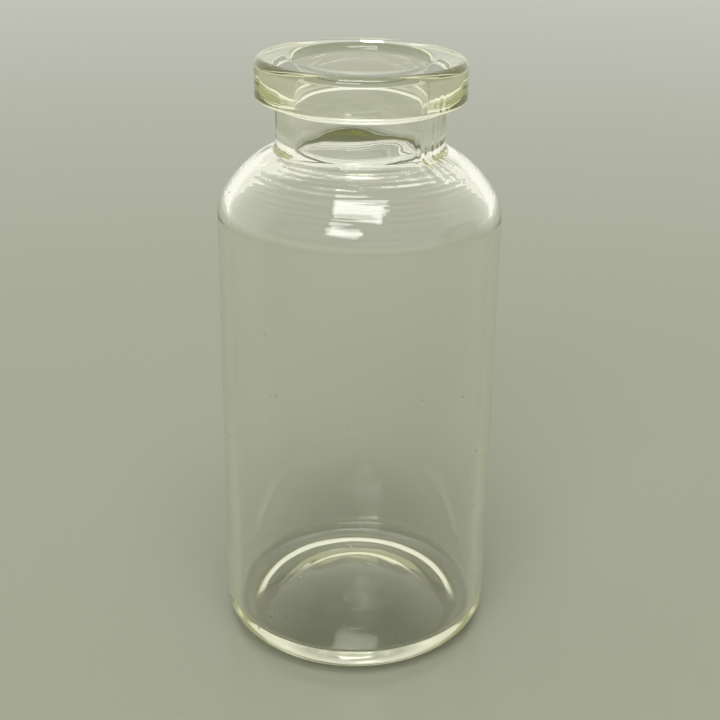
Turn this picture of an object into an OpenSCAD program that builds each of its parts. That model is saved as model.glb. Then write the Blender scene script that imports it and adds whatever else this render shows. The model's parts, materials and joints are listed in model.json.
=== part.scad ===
// Glass sample vial with a 20 mm crimp finish, formed from one length of glass tube.
// Millimetres, +Z up. The origin is at the middle of the foot, on the surface that the vial stands on.
// The whole vial is one closed outline, of straight lines and tangent arcs, turned round the Z axis.

/* [Body] */
// Height over all, from the foot to the top of the flange
overall_h = 59.5; // [45:0.5:90]
// Outer diameter of the tube
body_d = 27.5; // [26:0.5:34]
// Thickness of the tube's wall, and of the shoulder that is drawn from it
wall_t = 1.2; // [0.8:0.1:2]

/* [Base] */
// Outer radius of the heel, between the wall and the foot
heel_r = 2.6; // [2:0.1:3.5]
// Inner radius of the heel, between the wall and the floor
inner_heel_r = 0.6; // [0.4:0.1:2]
// Thickness of the floor in the middle
floor_t = 0.8; // [0.6:0.1:2]
// Height of the floor's middle above the valley round its rim
floor_rise = 1.4; // [0.8:0.1:2]
// Width of the flat ring that the vial stands on
foot_w = 0.3; // [0.2:0.1:1.5]
// Height of the dished underside in the middle
push_up = 2.9; // [2:0.1:3.5]
// Radius that leads from the foot ring into the dish
foot_round_r = 0.4; // [0.3:0.1:2]

/* [Shoulder] */
// Height of the shoulder, from the top of the straight wall to the root of the neck
shoulder_h = 7; // [6:0.25:9]
// Radius of the shoulder where it leaves the wall
corner_r = 4.5; // [3.5:0.25:5.5]
// Radius of the flatter upper part of the shoulder
crown_r = 10.5; // [9.5:0.5:14]
// Radius of the hollow between the shoulder and the neck
root_r = 0.6; // [0.4:0.1:1.5]
// Radius of the rounded glass inside, between the bore and the shoulder
inner_root_r = 2; // [1:0.25:3]

/* [Crimp finish] */
// Outer diameter of the flange that the cap is crimped under
flange_d = 20; // [19:0.25:21.5]
// Height of the flange at its outer edge
flange_h = 3.8; // [3:0.1:4.6]
// Outer diameter of the neck
neck_d = 16.2; // [15:0.1:17]
// Height of the neck, from its root to the level of the flange's lower edge
neck_h = 4.4; // [3:0.1:8]
// Diameter of the bore
bore_d = 12.6; // [11:0.1:13.5]
// Radius of the flange's upper outer edge
lip_r = 0.8; // [0.3:0.1:1.2]
// Radius of the mouth, between the bore and the sealing face
mouth_r = 0.9; // [0.3:0.1:1.5]
// Radius of the flange's lower outer edge
under_edge_r = 0.4; // [0.2:0.1:0.8]
// Angle at which the flange's underside runs down to the neck, in degrees
under_slope = 12; // [0:1:20]
// Radius of the hollow between the underside and the neck
under_fillet_r = 0.5; // [0.2:0.1:0.8]

/* [Hidden] */

// The finest detail: how far a chord of the outline may lie from its arc, and the sides of the turned form
chord_error = 0.004;
turned_sides = 120;

body_r = body_d / 2;
flange_r = flange_d / 2;
neck_r = neck_d / 2;
bore_r = bore_d / 2;

// Levels, stacked down from the top of the flange
flange_bottom = overall_h - flange_h;
root_z = flange_bottom - neck_h;
wall_top = root_z - shoulder_h;

// Where the foot's flat ring begins and ends
ring_out = body_r - heel_r;
ring_in = ring_out - foot_w;

// Unit vector at an angle, and the angle in which one point sees another
function dir(a) = [cos(a), sin(a)];
function bearing(from, to) = atan2(to[1] - from[1], to[0] - from[0]);

// The point at distance da from a and db from b that lies to the left of the way from a to b
function meet(a, da, b, db) =
    let (d = norm(b - a), u = (b - a) / d)
    let (along = (d * d + da * da - db * db) / (2 * d))
    let (aside = sqrt(da * da - along * along))
    a + along * u + aside * [-u[1], u[0]];

// Points along an arc. An arc that joins the one before it leaves out its first point, with first = 1.
function arc(centre, r, from, to, first = 0) =
    let (step = 2 * acos(1 - chord_error / r))
    let (n = max(2, ceil(abs(to - from) / step)))
    [for (i = [first : n]) centre + r * dir(from + (to - from) * i / n)];

// Shoulder: two arcs, tangent to the wall, to each other and to the hollow at the root of the neck
corner_c = [body_r - corner_r, wall_top];
root_c = [neck_r + root_r, root_z];
crown_c = meet(corner_c, crown_r - corner_r, root_c, crown_r + root_r);
blend_a = bearing(crown_c, corner_c);
root_a = bearing(crown_c, root_c);

// Inside the shoulder the same two arcs run one wall further in, up to the rounding below the bore
inner_crown_r = crown_r - wall_t;
inner_corner_r = corner_r - wall_t;
inner_root_x = bore_r + inner_root_r;
inner_root_rise = sqrt(pow(inner_crown_r + inner_root_r, 2) - pow(inner_root_x - crown_c[0], 2));
inner_root_c = [inner_root_x, crown_c[1] + inner_root_rise];
inner_root_a = bearing(crown_c, inner_root_c);

// Base: a deep dish below, tangent to the foot's rounding, and a flatter dome above it as the floor
dome_r = (ring_in * ring_in + push_up * push_up) / (2 * push_up) - foot_round_r;
dome_c = [0, push_up - dome_r];
foot_c = [ring_in, foot_round_r];
dome_a = bearing(dome_c, foot_c);
inner_heel_x = body_r - wall_t - inner_heel_r;
floor_r = (inner_heel_x * inner_heel_x + floor_rise * floor_rise) / (2 * floor_rise) - inner_heel_r;
floor_c = [0, push_up + floor_t - floor_r];
inner_heel_c = [inner_heel_x, push_up + floor_t - floor_rise + inner_heel_r];
inner_heel_a = bearing(floor_c, inner_heel_c);

// Flange: the underside is a line through the lower outer corner, rounded at both of its ends
edge_rise = under_edge_r * (1 - sin(under_slope)) / cos(under_slope);
edge_c = [flange_r - under_edge_r, flange_bottom + edge_rise];
fillet_x = neck_r + under_fillet_r;
fillet_drop = (under_fillet_r + (flange_r - fillet_x) * sin(under_slope)) / cos(under_slope);
fillet_c = [fillet_x, flange_bottom - fillet_drop];

// Half section of the glass, from the middle of the foot up the outside and down the inside
section = concat(
    arc(dome_c, dome_r, 90, dome_a),
    arc(foot_c, foot_round_r, dome_a + 180, 270, first = 1),
    arc([ring_out, heel_r], heel_r, -90, 0),
    arc(corner_c, corner_r, 0, blend_a),
    arc(crown_c, crown_r, blend_a, root_a, first = 1),
    arc(root_c, root_r, root_a + 180, 180, first = 1),
    arc(fillet_c, under_fillet_r, 180, 90 + under_slope),
    arc(edge_c, under_edge_r, under_slope - 90, 0),
    arc([flange_r - lip_r, overall_h - lip_r], lip_r, 0, 90),
    arc([bore_r + mouth_r, overall_h - mouth_r], mouth_r, 90, 180),
    arc(inner_root_c, inner_root_r, 180, inner_root_a + 180),
    arc(crown_c, inner_crown_r, inner_root_a, blend_a, first = 1),
    arc(corner_c, inner_corner_r, blend_a, 0, first = 1),
    arc(inner_heel_c, inner_heel_r, 0, inner_heel_a - 180),
    arc(floor_c, floor_r, inner_heel_a, 90, first = 1)
);

// The vial: tube wall, formed shoulder and neck, crimp flange and dished base, all in one piece of glass
module vial() {
    color([0.85, 0.91, 0.83, 0.5])
        rotate_extrude($fn = turned_sides)
            polygon(section);
}

vial();
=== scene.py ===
# %% [markdown]
# # A glass sample vial
#
# The real vial starts as a glass tube. One end is softened, squeezed to a neck and rolled out to a
# flange that a cap is crimped under. The other end is closed and its underside is pressed to a dish.
# Everything is one piece of glass, so it is one mesh here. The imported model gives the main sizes, and
# the mesh below adds what makes glass look formed: ripples, draw lines, flutes and rings.

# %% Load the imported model
import json

import bpy
import numpy as np
from mathutils import Matrix, Vector


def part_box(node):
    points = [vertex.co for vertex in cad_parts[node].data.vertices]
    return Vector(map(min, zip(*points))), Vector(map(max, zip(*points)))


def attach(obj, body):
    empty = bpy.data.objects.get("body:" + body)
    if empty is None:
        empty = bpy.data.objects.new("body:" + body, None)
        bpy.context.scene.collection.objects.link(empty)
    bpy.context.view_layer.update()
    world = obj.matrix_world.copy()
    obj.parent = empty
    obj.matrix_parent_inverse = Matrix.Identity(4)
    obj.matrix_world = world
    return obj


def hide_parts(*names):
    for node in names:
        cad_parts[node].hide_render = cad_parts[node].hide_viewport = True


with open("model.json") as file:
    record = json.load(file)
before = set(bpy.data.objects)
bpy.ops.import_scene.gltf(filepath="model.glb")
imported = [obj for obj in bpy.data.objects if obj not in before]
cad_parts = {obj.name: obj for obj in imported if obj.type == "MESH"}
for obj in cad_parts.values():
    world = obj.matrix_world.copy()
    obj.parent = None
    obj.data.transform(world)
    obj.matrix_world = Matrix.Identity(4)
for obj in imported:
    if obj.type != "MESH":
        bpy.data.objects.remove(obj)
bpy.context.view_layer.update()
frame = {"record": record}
mm = 0.001

# %% [markdown]
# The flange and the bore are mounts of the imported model, so their sizes are read from it, and the
# height and the width come from its box. What neither says, such as the radii of the shoulder, is
# named below in millimetres.

# %% Sizes of the vial
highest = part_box("vial")[1]
mounts = {m["name"]: m for m in frame["record"]["mounts"]}


def mount_radius(name):
    """A round mount's radius, in metres."""
    return mounts[name]["dims"]["r_mm"] * mm


def mount_span(name):
    """The lowest and highest level of a round mount's straight wall."""
    half = mounts[name]["dims"]["length_mm"] * mm / 2
    middle = mounts[name]["pos_m"][2]
    return middle - half, middle + half


height = highest.z
body_r = highest.x
bore_r = mount_radius("neck_bore")
flange_r = mount_radius("crimp_flange")
bore_high = mount_span("neck_bore")[1]
flange_low, flange_high = mount_span("crimp_flange")
mouth_r = height - bore_high
lip_r = height - flange_high
under_edge_r = 0.4 * mm
under_slope = np.radians(12)
under_fillet_r = 0.5 * mm
neck_r = 8.1 * mm
root_level = 51.3 * mm
root_r = 0.6 * mm
crown_r = 10.5 * mm
corner_r = 4.5 * mm
wall_top = 44.3 * mm
wall = 1.2 * mm
inner_root_r = 2 * mm
heel_r = 2.6 * mm
inner_heel_r = 0.6 * mm
foot_width = 0.3 * mm
foot_round_r = 0.4 * mm
floor_thickness = 0.8 * mm
floor_rise = 1.4 * mm
push_up = 2.9 * mm
print("bore", round(bore_r / mm, 2), "flange", round(flange_r / mm, 2), "mouth", round(mouth_r / mm, 2))

# %% [markdown]
# A close camera with a long lens looks down at the vial. Its three turns are kept apart, because each
# has a meaning: how far down it looks, how far it is turned aside, and how far it leans.

# %% Camera
camera_data = bpy.data.cameras.new("camera")
camera_data.sensor_width = 36
camera_data.lens = 66.08
camera_data.shift_x = -0.0556
camera_data.shift_y = -0.0486
camera_data.clip_start = 0.005
camera_data.clip_end = 20
camera = bpy.data.objects.new("camera", camera_data)
bpy.context.scene.collection.objects.link(camera)
bpy.context.scene.camera = camera
looks_down = np.radians(22.47)
turned_aside = np.radians(-1.94)
leans = np.radians(1.40)
eye_distance = 122.73 * mm
eye_level = 83.35 * mm
camera.matrix_world = (
    Matrix.Translation((0, -eye_distance, eye_level))
    @ Matrix.Rotation(turned_aside, 4, "Z")
    @ Matrix.Rotation(np.pi / 2 - looks_down, 4, "X")
    @ Matrix.Rotation(leans, 4, "Z")
)
bpy.context.scene.view_settings.view_transform = "Standard"
print("camera at", [round(c / mm, 1) for c in camera.matrix_world.translation], "mm")

# %% [markdown]
# Shader maths reads better as a formula than as a row of nodes. This class wraps a socket, so that an
# expression such as 1 - mask * 0.3 adds its Math nodes by itself. Any other node comes from add().


# %% A small helper for materials
class Shade:
    """A socket that can be used in a formula. Every operator adds one Math node to its tree."""

    def __init__(self, tree, socket):
        self.tree = tree
        self.socket = socket

    def math(self, operation, *values):
        """One Math node. Its values may be numbers or other Shades."""
        node = add(self.tree, "ShaderNodeMath", {"operation": operation})
        for place, value in enumerate(values):
            put(self.tree, node.inputs[place], value)
        return Shade(self.tree, node.outputs[0])

    def power(self, exponent):
        """The value to the power of a plain number."""
        return self.math("POWER", self, exponent)

    def __add__(self, other):
        return self.math("ADD", self, other)

    def __radd__(self, other):
        return self.math("ADD", other, self)

    def __sub__(self, other):
        return self.math("SUBTRACT", self, other)

    def __rsub__(self, other):
        return self.math("SUBTRACT", other, self)

    def __mul__(self, other):
        return self.math("MULTIPLY", self, other)

    def __rmul__(self, other):
        return self.math("MULTIPLY", other, self)

    def ramp(self, low, high):
        """0 below low, 1 above high and a smooth rise between them."""
        node = add(
            self.tree,
            "ShaderNodeMapRange",
            {"interpolation_type": "SMOOTHSTEP"},
            {"Value": self, "From Min": low, "From Max": high},
        )
        return Shade(self.tree, node.outputs[0])


def put(tree, socket, value):
    """Gives a socket a plain value, or links it to a Shade or a socket."""
    if isinstance(value, Shade):
        value = value.socket
    if isinstance(value, bpy.types.NodeSocket):
        tree.links.new(value, socket)
    else:
        socket.default_value = value


def add(tree, kind, settings=None, inputs=None):
    """A new node: its settings first, such as a Math node's operation, then its sockets."""
    node = tree.nodes.new(kind)
    for name, value in (settings or {}).items():
        setattr(node, name, value)
    for name, value in (inputs or {}).items():
        put(tree, node.inputs[name], value)
    return node


def new_material(name):
    """An empty material and its node tree."""
    material = bpy.data.materials.new(name)
    material.use_nodes = True
    material.node_tree.nodes.clear()
    return material, material.node_tree


# %% [markdown]
# The room matters as much as the vial, because clear glass shows little but its surroundings. The wall
# behind the vial is pale, with a brighter band of windows low down, which the shoulder, the heel and
# the rim pick up. The wall on the near side is darker and a dark cupboard stands on the right, so that
# bright and dark meet in every curve of the glass. No part of the room is stronger than 1, which
# renders as white.

# %% Room
world = bpy.data.worlds.new("room")
bpy.context.scene.world = world
world.use_nodes = True
room = world.node_tree
room.nodes.clear()
direction = add(room, "ShaderNodeTexCoord").outputs["Generated"]
way = add(room, "ShaderNodeSeparateXYZ", inputs={"Vector": direction})
up = Shade(room, way.outputs["Z"])
away = Shade(room, way.outputs["Y"])
to_the_right = Shade(room, way.outputs["X"])
behind = away.ramp(-0.25, 0.15)
window_band = 0.1 * behind * (1.0 - up.ramp(0.2, 0.45))
wall_behind = 0.9 - 0.45 * up.ramp(0.62, 0.87)
wall_in_front = 0.9 - 0.42 * up.ramp(0.05, 0.3)
cupboard = 0.45 * to_the_right.ramp(0.9, 0.94)
wall_light = behind * wall_behind + (1.0 - behind) * wall_in_front + window_band - cupboard
room_background = add(
    room, "ShaderNodeBackground", inputs={"Color": (1.0, 1.0, 0.93, 1), "Strength": wall_light}
)
put(room, add(room, "ShaderNodeOutputWorld").inputs["Surface"], room_background.outputs[0])
print("nodes in the room:", len(room.nodes))

# %% [markdown]
# Two soft panels hang in front of the vial and above it, as the light fittings over a bench do. Their
# mirror images are the bright bars on the shoulder, so their size and place matter more than their
# power. They hang askew, which makes every ripple of the shoulder show at the ends of the bars.


# %% Light panels
def light_panel(name, place, aim, width, depth, turn, radiance):
    """A lamp that faces aim, turned in its own plane. Power = radiance times pi times width times depth."""
    lamp = bpy.data.lights.new(name, "AREA")
    lamp.shape = "RECTANGLE"
    lamp.size = width
    lamp.size_y = depth
    lamp.energy = radiance * np.pi * width * depth
    panel = bpy.data.objects.new(name, lamp)
    bpy.context.scene.collection.objects.link(panel)
    facing = (Vector(aim) - Vector(place)).to_track_quat("-Z", "Y").to_matrix().to_4x4()
    panel.matrix_world = Matrix.Translation(place) @ facing @ Matrix.Rotation(turn, 4, "Z")
    panel.visible_camera = False
    print(name, "gives", round(lamp.energy, 3), "W")


askew = np.radians(-12)
panel_radiance = 7
shoulder_front = Vector((0, -0.9 * body_r, wall_top + 3 * mm))
over_the_bench = shoulder_front + Vector((0, -0.105, 0.3))
beside_the_window = shoulder_front + Vector((-0.06, -0.216, 0.198))
light_panel("ceiling_panel", over_the_bench, shoulder_front, 0.19, 0.125, askew, panel_radiance)
light_panel("window_panel", beside_the_window, shoulder_front, 0.13, 0.08, askew, panel_radiance)

# %% [markdown]
# The bench top is plain and smooth, in a light grey-olive. It is a little glossy, so it shows a soft
# mirror image of the vial, and it lies a hair below the foot, as two hard surfaces never quite touch.

# %% Bench top
floor_radius = 0.5
floor_level = -0.02 * mm
floor_sides = 120
turn = np.linspace(0, 2 * np.pi, floor_sides, endpoint=False)
floor_edge = np.column_stack((np.cos(turn), np.sin(turn), np.zeros(floor_sides))) * floor_radius
floor_edge[:, 2] = floor_level
floor_mesh = bpy.data.meshes.new("floor")
floor_mesh.from_pydata(floor_edge.tolist(), [], [list(range(floor_sides))])
print("bench top", 2 * floor_radius, "m across")
floor = bpy.data.objects.new("floor", floor_mesh)
bpy.context.scene.collection.objects.link(floor)
floor_material, tree = new_material("pale_bench")
bench = add(
    tree, "ShaderNodeBsdfPrincipled", inputs={"Base Color": (0.32, 0.335, 0.25, 1), "Roughness": 0.15}
)
put(tree, add(tree, "ShaderNodeOutputMaterial").inputs["Surface"], bench.outputs[0])
floor_mesh.materials.append(floor_material)

# %% [markdown]
# The section of the glass is a closed line of straight stretches and tangent arcs. Each stretch is
# sampled by itself, and every sample keeps the direction that points out of the glass, because
# refraction shows the smallest error in a normal.


# %% Stretches of the outline
def heading(angle):
    """Unit vectors at the given angles, in the plane of radius and height."""
    return np.stack([np.cos(angle), np.sin(angle)], axis=-1)


def bearing(start, stop):
    """The angle at which one point of the section sees another."""
    return np.arctan2(stop[1] - start[1], stop[0] - start[0])


def meet(a, from_a, b, from_b):
    """The point at two given distances from a and b, to the left of the way from a to b."""
    span = np.linalg.norm(b - a)
    along = (span**2 + from_a**2 - from_b**2) / (2 * span)
    aside = np.sqrt(from_a**2 - along**2)
    forward = (b - a) / span
    return a + along * forward + aside * np.array([-forward[1], forward[0]])


def arc(centre, radius, start, stop, count):
    """Samples on an arc: centre plus radius times the heading. Anticlockwise, the glass is inside it."""
    angle = np.linspace(start, stop, count)
    outward = heading(angle) * np.sign(stop - start)
    return np.hstack([np.asarray(centre) + radius * heading(angle), outward])


def straight(start, stop, count):
    """Samples on a straight stretch. The way out of the glass is to the right of the way along it."""
    share = np.linspace(0, 1, count)[:, None]
    way = (np.subtract(stop, start)) / np.linalg.norm(np.subtract(stop, start))
    outward = np.broadcast_to([way[1], -way[0]], (count, 2))
    return np.hstack([np.asarray(start) + share * np.subtract(stop, start), outward])


# %% [markdown]
# The outline starts under the middle of the foot, climbs the outside, turns over the flange and comes
# down inside. The centres of the shoulder's arcs follow from the arcs they have to touch.

# %% Centres of the arcs
quarter = np.pi / 2
corner_c = np.array([body_r - corner_r, wall_top])
root_c = np.array([neck_r + root_r, root_level])
crown_c = meet(corner_c, crown_r - corner_r, root_c, crown_r + root_r)
blend_angle = bearing(crown_c, corner_c)
root_angle = bearing(crown_c, root_c)

inner_crown_r = crown_r - wall
inner_corner_r = corner_r - wall
inner_root_x = bore_r + inner_root_r
inner_root_rise = np.sqrt((inner_crown_r + inner_root_r) ** 2 - (inner_root_x - crown_c[0]) ** 2)
inner_root_c = np.array([inner_root_x, crown_c[1] + inner_root_rise])
inner_root_angle = bearing(crown_c, inner_root_c)

ring_out = body_r - heel_r
ring_in = ring_out - foot_width
dome_r = (ring_in**2 + push_up**2) / (2 * push_up) - foot_round_r
dome_c = np.array([0, push_up - dome_r])
foot_c = np.array([ring_in, foot_round_r])
dome_angle = bearing(dome_c, foot_c)
inner_heel_x = body_r - wall - inner_heel_r
floor_r = (inner_heel_x**2 + floor_rise**2) / (2 * floor_rise) - inner_heel_r
floor_c = np.array([0, push_up + floor_thickness - floor_r])
inner_heel_c = np.array([inner_heel_x, push_up + floor_thickness - floor_rise + inner_heel_r])
inner_heel_angle = bearing(floor_c, inner_heel_c)

flange_bottom = flange_low - under_edge_r * (1 - np.sin(under_slope)) / np.cos(under_slope)
edge_c = np.array([flange_r - under_edge_r, flange_low])
fillet_x = neck_r + under_fillet_r
fillet_drop = (under_fillet_r + (flange_r - fillet_x) * np.sin(under_slope)) / np.cos(under_slope)
fillet_c = np.array([fillet_x, flange_bottom - fillet_drop])
print("radii of the dish and the floor:", round(dome_r / mm, 1), round(floor_r / mm, 1))

# %% [markdown]
# The stretches are put together in order, each with enough samples for its own curve. The long
# straight walls need few, and the shoulder needs many, because it carries the ripples.

# %% Outline of the glass
outline = {
    "dome": arc(dome_c, dome_r, quarter, dome_angle, 20),
    "foot_round": arc(foot_c, foot_round_r, dome_angle + np.pi, 3 * quarter, 8),
    "foot_ring": straight((ring_in, 0), (ring_out, 0), 3),
    "heel": arc((ring_out, heel_r), heel_r, -quarter, 0, 18),
    "wall": straight((body_r, heel_r), (body_r, wall_top), 14),
    "corner": arc(corner_c, corner_r, 0, blend_angle, 26),
    "crown": arc(crown_c, crown_r, blend_angle, root_angle, 64),
    "root": arc(root_c, root_r, root_angle + np.pi, np.pi, 10),
    "neck": straight((neck_r, root_level), (neck_r, fillet_c[1]), 18),
    "under_fillet": arc(fillet_c, under_fillet_r, np.pi, quarter + under_slope, 8),
    "underside": None,
    "under_edge": arc(edge_c, under_edge_r, under_slope - quarter, 0, 8),
    "flange_side": straight((flange_r, flange_low), (flange_r, flange_high), 6),
    "lip": arc((flange_r - lip_r, flange_high), lip_r, 0, quarter, 12),
    "sealing_face": straight((flange_r - lip_r, height), (bore_r + mouth_r, height), 4),
    "mouth": arc((bore_r + mouth_r, bore_high), mouth_r, quarter, np.pi, 12),
    "bore": straight((bore_r, bore_high), (bore_r, inner_root_c[1]), 18),
    "inner_root": arc(inner_root_c, inner_root_r, np.pi, inner_root_angle + np.pi, 18),
    "inner_crown": arc(crown_c, inner_crown_r, inner_root_angle, blend_angle, 22),
    "inner_corner": arc(corner_c, inner_corner_r, blend_angle, 0, 12),
    "inner_wall": straight((body_r - wall, wall_top), (body_r - wall, inner_heel_c[1]), 14),
    "inner_heel": arc(inner_heel_c, inner_heel_r, 0, inner_heel_angle - np.pi, 12),
    "floor": arc(floor_c, floor_r, inner_heel_angle, quarter, 20),
}
outline["underside"] = straight(outline["under_fillet"][-1, :2], outline["under_edge"][0, :2], 4)

rows = []
starts = {}
for name, samples in outline.items():
    starts[name] = sum(len(r) for r in rows) - (1 if rows else 0)
    rows.append(samples if not rows else samples[1:])
section = np.vstack(rows)
steps = np.linalg.norm(np.diff(section[:, :2], axis=0), axis=1)
run = np.concatenate([[0], np.cumsum(steps)])
begin = {name: run[index] for name, index in starts.items()}
print(len(section), "samples on", round(run[-1] / mm, 1), "mm of outline")

# %% [markdown]
# Hot glass keeps the marks of its forming. Rollers leave fine ripples that wind round the shoulder,
# the drawing of the tube leaves faint upright lines, a mould leaves rings on the floor, and the inside
# of the neck, which little touches, sags and has a few upright flutes on one side. None is more than a
# few hundredths of a millimetre high, but glass shows a mark by its slope, not by its height. The lines
# of the outer wall only go inwards, so the vial stays within its size.


# %% Forming marks
def window(along, start, stop, soft):
    """1 between start and stop, with a smooth rise and fall of the given length inside them."""
    rise = np.clip((along - start) / soft, 0, 1)
    fall = np.clip((stop - along) / soft, 0, 1)
    return rise**2 * (3 - 2 * rise) * fall**2 * (3 - 2 * fall)


def waves(along, around, pitches, turns, phases):
    """Mean of winding waves: each is the sine of 2 pi along / pitch + turns * around + phase."""
    total = 0
    for pitch, turn, phase in zip(pitches, turns, phases):
        total = total + np.sin(2 * np.pi * along / pitch + turn * around + phase)
    return total / len(pitches)


def upright(around, turns, phases):
    """Sum of upright lines: each is the sine of turns * around + phase, and finer lines are lower."""
    return sum(np.sin(turn * around + phase) / turn for turn, phase in zip(turns, phases))


dice = np.random.default_rng(7)
full_turn = 2 * np.pi
ripple_height = 0.023 * mm
ripple_pitches = np.array([0.55, 0.66, 0.8, 1.0, 1.35]) * mm
ripple_turns = [3, -4, 6, 2, -5]
ripple_phases = dice.uniform(0, full_turn, 5)
crinkle_height = 0.003 * mm
crinkle_pitches = np.array([0.55, 0.7, 0.9]) * mm
crinkle_turns = [47, -38, 29]
crinkle_phases = dice.uniform(0, full_turn, 3)
line_height = 0.006 * mm
line_turns = [7, 11, 17, 23, 31, 43]
line_phases = dice.uniform(0, full_turn, (2, 6))
neck_line_height = 0.06 * mm
neck_line_turns = [13, 19, 29, 37]
neck_line_phases = dice.uniform(0, full_turn, 4)
flute_height = 0.03 * mm
flute_pitches = np.array([19, -23, 31]) * mm
flute_turns = [37, 26, 51]
flute_phases = dice.uniform(0, full_turn, 3)
mould_height = 0.01 * mm
mould_pitches = np.array([0.8, 1.1, 1.6]) * mm
mould_turns = [1, -2, 1]
mould_phases = dice.uniform(0, full_turn, 3)
sag_height = 0.03 * mm
sag_pitches = np.array([2.1, 3.3, 4.7, 2.9]) * mm
sag_turns = [3, -4, 7, 5]
sag_phases = dice.uniform(0, full_turn, 4)


def forming(along, around):
    """Height of the marks over the plain outline, out of the glass."""
    shoulder = window(along, begin["corner"], begin["neck"], 1.5 * mm)
    near_neck = window(along, begin["crown"], begin["neck"], 4 * mm)
    front_and_back = 0.56 - 0.44 * np.cos(2 * around)
    ripples = shoulder * front_and_back * (0.6 + 0.4 * near_neck)
    ripples = ripples * waves(along, around, ripple_pitches, ripple_turns, ripple_phases)
    crease = window(along, begin["root"] - 3.5 * mm, begin["root"], 1.2 * mm)
    crinkles = crease * waves(along, around, crinkle_pitches, crinkle_turns, crinkle_phases)
    outside = window(along, begin["heel"], begin["corner"] + 4 * mm, 3 * mm)
    deepest = sum(1 / turn for turn in line_turns)
    outer_lines = outside * (upright(around, line_turns, line_phases[0]) - deepest - 1.3)
    flat_of_floor = window(along, begin["floor"] + 1 * mm, begin["floor"] + 11.5 * mm, 2 * mm)
    mould_rings = flat_of_floor * waves(along, around, mould_pitches, mould_turns, mould_phases)
    inside = window(along, begin["inner_crown"], begin["floor"], 3 * mm)
    inner_lines = inside * upright(around, line_turns, line_phases[1])
    neck_inside = window(along, begin["bore"] + 1 * mm, begin["inner_crown"] + 3 * mm, 2 * mm)
    neck_lines = neck_inside * upright(around, neck_line_turns, neck_line_phases)
    right_side = np.clip(np.cos(around + 0.5), 0, 1) ** 24
    neck_flutes = neck_inside * right_side * waves(along, around, flute_pitches, flute_turns, flute_phases)
    sag = neck_inside * waves(along, around, sag_pitches, sag_turns, sag_phases)
    return (
        ripple_height * ripples
        + crinkle_height * crinkles
        + mould_height * mould_rings
        + line_height * (outer_lines + inner_lines)
        + neck_line_height * neck_lines
        + flute_height * neck_flutes
        + sag_height * sag
    )


# %% [markdown]
# The vial is now a surface of two parameters, the way along the outline and the angle round the axis.
# The normals are worked out from the same formula and given to the mesh, so that light bends as
# smoothly as it does in real glass.


# %% Surface of the vial
def turned_glass(name, section, run, sides):
    """Point = outline point moved out by the marks, turned round Z. Normal = way out less their slopes."""
    around = np.arange(sides) * 2 * np.pi / sides
    along = run[1:-1, None]
    r, z, out_r, out_z = (section[1:-1, k][:, None] for k in range(4))
    marks = forming(along, around[None, :])
    step = 0.002 * mm
    slope_along = (forming(along + step, around) - forming(along - step, around)) / (2 * step)
    turn = 0.0005
    slope_around = (forming(along, around + turn) - forming(along, around - turn)) / (2 * turn * r)
    ring = np.stack([np.cos(around), np.sin(around)])
    radius = r + marks * out_r
    points = np.stack([radius * ring[0], radius * ring[1], z + marks * out_z], axis=-1)
    flat_r = out_r + slope_along * out_z
    flat_z = out_z - slope_along * out_r
    normals = np.stack(
        [
            flat_r * ring[0] + slope_around * ring[1],
            flat_r * ring[1] - slope_around * ring[0],
            flat_z + 0 * ring[0],
        ],
        axis=-1,
    )
    normals /= np.linalg.norm(normals, axis=-1, keepdims=True)
    count = len(r)
    here = np.arange(sides)
    after = (here + 1) % sides
    base = np.arange(count - 1)[:, None] * sides
    quads = np.stack([base + here, base + after, base + sides + after, base + sides + here], axis=-1)
    first, last = count * sides, count * sides + 1
    top = (count - 1) * sides
    bottom_fan = np.stack([np.full(sides, first), after, here], axis=-1)
    top_fan = np.stack([top + here, top + after, np.full(sides, last)], axis=-1)
    poles = [(0, 0, section[0, 1]), (0, 0, section[-1, 1])]
    pole_normals = [(0, 0, -1), (0, 0, 1)]
    vertices = np.vstack([points.reshape(-1, 3), poles])
    mesh = bpy.data.meshes.new(name)
    faces = quads.reshape(-1, 4).tolist() + bottom_fan.tolist() + top_fan.tolist()
    mesh.from_pydata(vertices.tolist(), [], faces)
    mesh.polygons.foreach_set("use_smooth", np.ones(len(mesh.polygons), bool))
    mesh.normals_split_custom_set_from_vertices(np.vstack([normals.reshape(-1, 3), pole_normals]).tolist())
    mesh.update()
    piece = bpy.data.objects.new(name, mesh)
    bpy.context.scene.collection.objects.link(piece)
    triangles = sum(len(p.vertices) - 2 for p in mesh.polygons)
    print(name, "has", triangles, "triangles")
    return piece


vial = turned_glass("vial_glass", section, run, 288)

# %% [markdown]
# Clear glass bends light, mirrors a little of it, and takes away some blue on a long way through,
# which turns thick glass yellow-green. A vial that has been handled isn't quite polished: a thin haze
# and a few specks of dust roughen it, and so did the mould that pressed its base. One shader does it
# all, with a pattern on its roughness, because the glass is the same everywhere.

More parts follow.
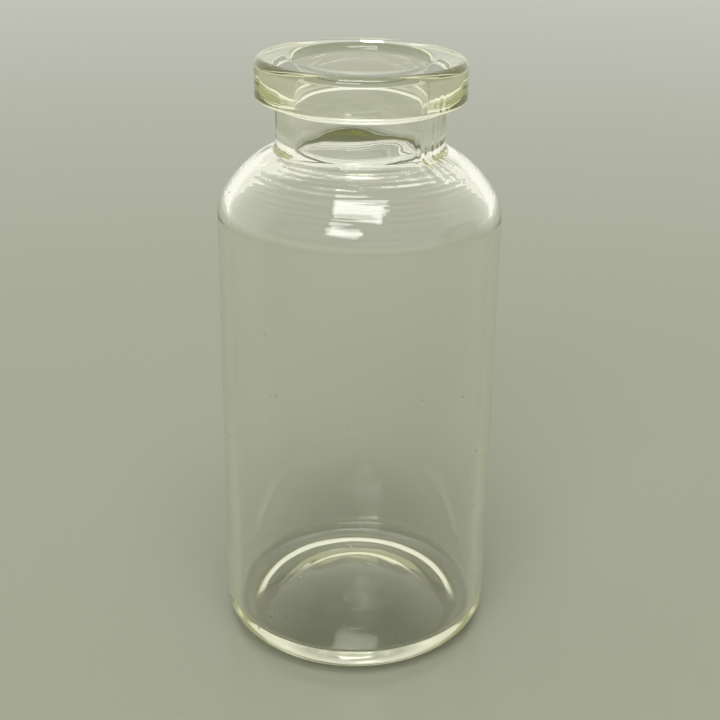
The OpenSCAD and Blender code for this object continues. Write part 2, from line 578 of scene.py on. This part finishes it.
# %% Clear glass
refractive_index = 1.49
glass, tree = new_material("clear_glass")
clear = add(
    tree,
    "ShaderNodeBsdfPrincipled",
    inputs={"Base Color": (1, 1, 1, 1), "IOR": refractive_index, "Transmission Weight": 1.0},
)
place = add(tree, "ShaderNodeTexCoord").outputs["Object"]
spot = add(tree, "ShaderNodeSeparateXYZ", inputs={"Vector": place})
level = Shade(tree, spot.outputs["Z"])
sideways = Shade(tree, spot.outputs["X"])
forwards = Shade(tree, spot.outputs["Y"])
from_axis = (sideways * sideways + forwards * forwards).power(0.5)
pressed = 0.05 * (1.0 - level.ramp(4 * mm, 6 * mm)) * (1.0 - from_axis.ramp(9.5 * mm, 11 * mm))
cloud = add(tree, "ShaderNodeTexNoise", inputs={"Vector": place, "Scale": 70.0, "Detail": 3.0})
haze = 0.022 * Shade(tree, cloud.outputs["Fac"]).ramp(0.45, 0.8)
dust = add(tree, "ShaderNodeTexVoronoi", inputs={"Vector": place, "Scale": 260.0})
specks = 0.5 * (1.0 - Shade(tree, dust.outputs["Distance"]).ramp(0.025, 0.045))
put(tree, clear.inputs["Roughness"], haze + specks + pressed)
print("refractive index", refractive_index)

# %% [markdown]
# Such a render follows a path of light through only a few mirrorings, and a path that is cut off is
# black. The last mirroring that is followed is therefore replaced by a glow, which is painted light that
# the glass itself doesn't give. It is a stand-in whose colours are judged: pale olive in the flange and at
# the heel, where real light runs round and round, and dim between them.

# %% Painted glow of the rims
last_mirroring = 4
heel_glow = 1.0 - level.ramp(4 * mm, 9 * mm)
flange_glow = level.ramp(height - 6.5 * mm, height - 4.2 * mm)
painted_glow_rims = 0.65 * heel_glow + 0.8 * flange_glow
# Painted light: the two colours of the glow that stands in for cut-off light, not colours of the glass
dim_painted_glow = (0.16, 0.165, 0.125, 1)
pale_painted_glow = (0.53, 0.535, 0.41, 1)
rim_glow = add(
    tree,
    "ShaderNodeMix",
    {"data_type": "RGBA"},
    {"Factor": painted_glow_rims, "A": dim_painted_glow, "B": pale_painted_glow},
)
# The emission is painted light, brightest in the flange and at the heel
glow = add(tree, "ShaderNodeEmission", inputs={"Color": rim_glow.outputs[2], "Strength": 1.0})
mirrored = Shade(tree, add(tree, "ShaderNodeLightPath").outputs["Glossy Depth"])
ending = mirrored.ramp(last_mirroring - 0.6, last_mirroring - 0.4)
lit = add(tree, "ShaderNodeMixShader", inputs={0: ending, 1: clear.outputs[0], 2: glow.outputs[0]})
print("the glow takes over at mirroring", last_mirroring)

# %% [markdown]
# The tint is worked out inside the glass, by how far light goes through it, so a thin wall stays
# clear and the thick flange and heel turn olive. A colour on the surface would tint them all alike.

# %% Tint of the glass
tint = add(tree, "ShaderNodeVolumeAbsorption", inputs={"Color": (0.883, 0.908, 0.5, 1), "Density": 60.0})
surface = add(tree, "ShaderNodeOutputMaterial", inputs={"Volume": tint.outputs[0]})
put(tree, surface.inputs["Surface"], lit.outputs[0])
vial.data.materials.append(glass)
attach(vial, "root")
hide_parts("vial")
print("nodes in the material of the glass:", len(tree.nodes))
